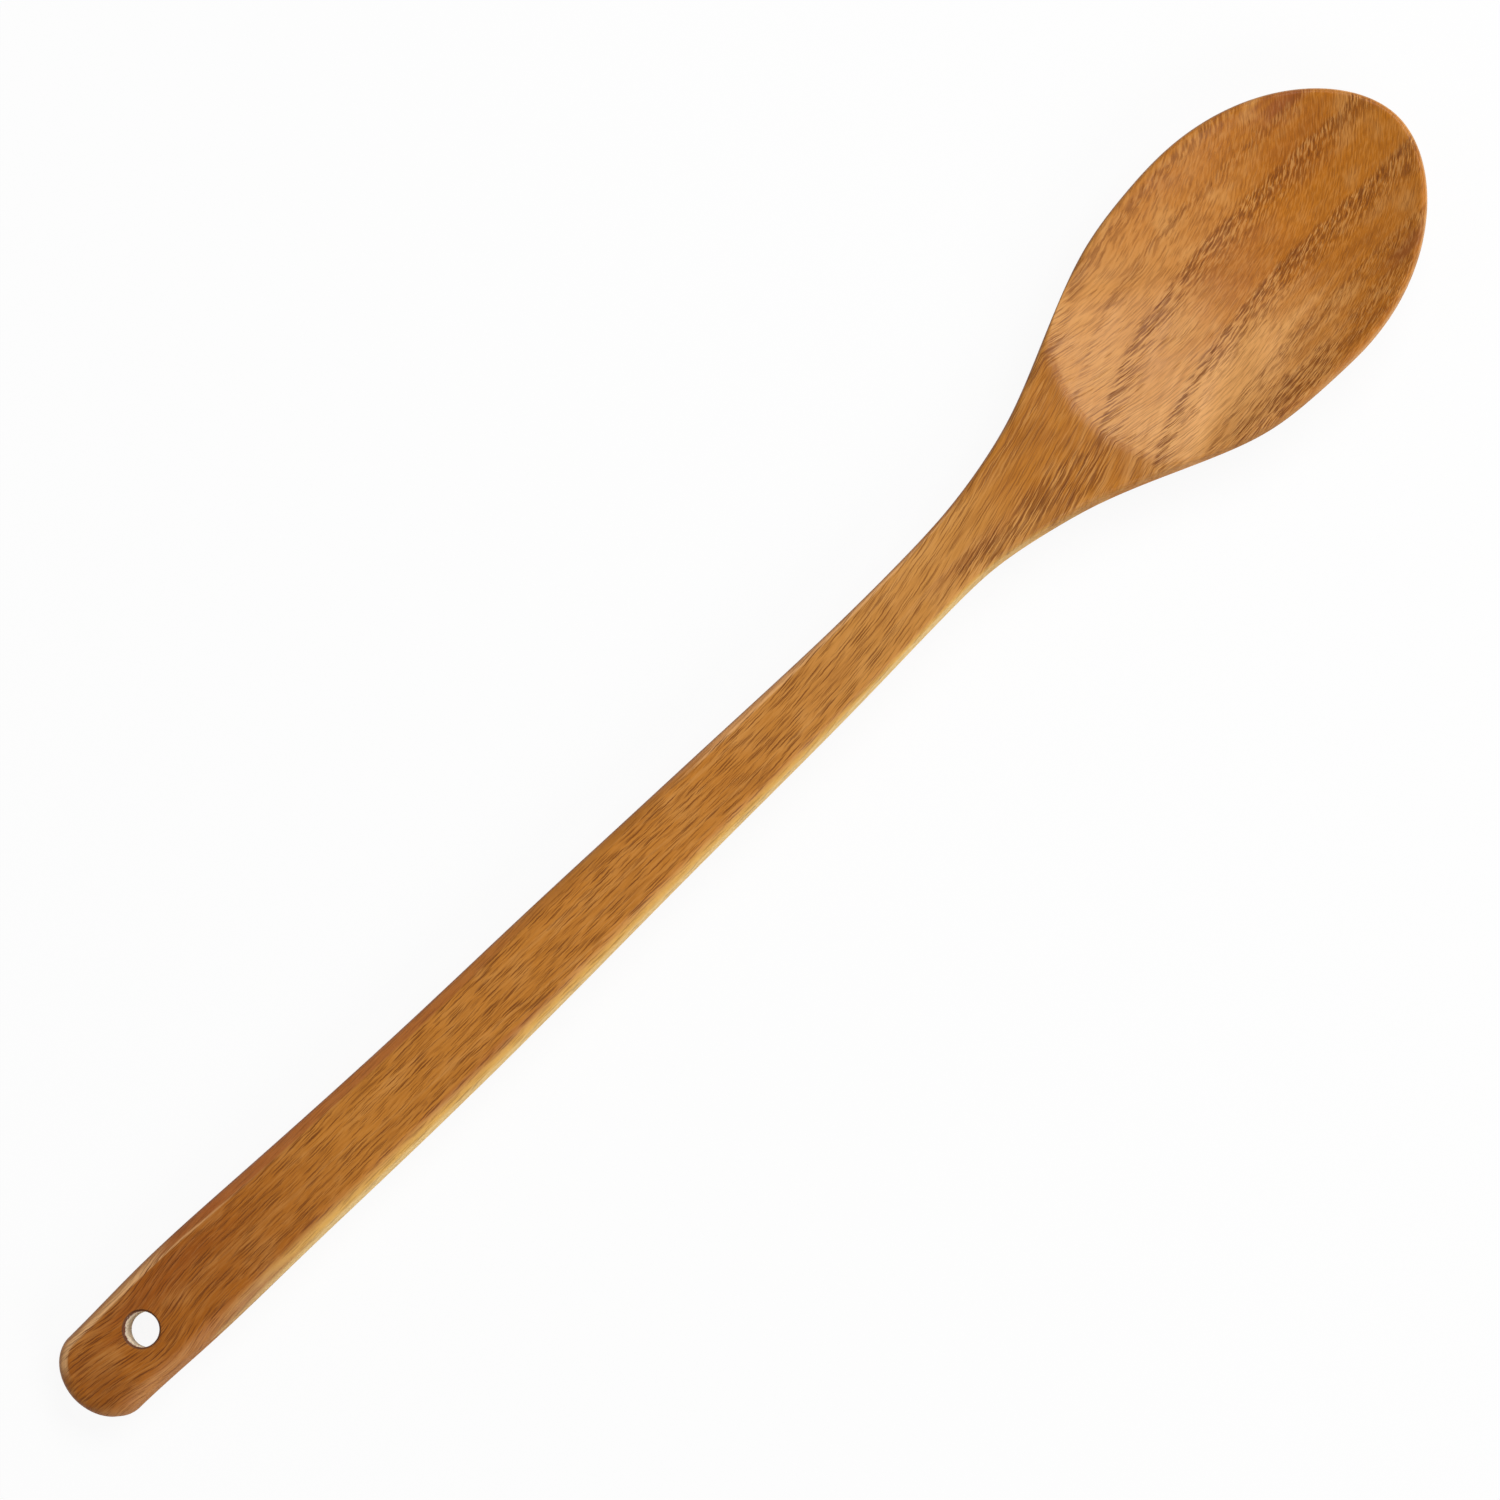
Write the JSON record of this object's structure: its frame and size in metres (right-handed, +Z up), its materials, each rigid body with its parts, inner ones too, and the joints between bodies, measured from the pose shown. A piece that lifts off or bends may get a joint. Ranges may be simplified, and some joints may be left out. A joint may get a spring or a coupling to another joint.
{
  "type": "wooden spoon",
  "caption": "Long wooden kitchen spoon with a shallow oval bowl, a slim tapering handle and a round hanging hole near the handle's end",
  "frame": {"origin": "bottom centre of the spoon's box, on the surface that it lies on", "axes": "+X along the spoon from the hanging hole towards the tip of the bowl, +Y to its left seen from the handle's end, +Z up, out of the hollow of the bowl"},
  "size_m": [0.356, 0.0546, 0.0133],
  "materials": {
    "wood": "satin"
  },
  "bodies": {
    "root": {"spoon": "wood"}
  },
  "joints": []
}
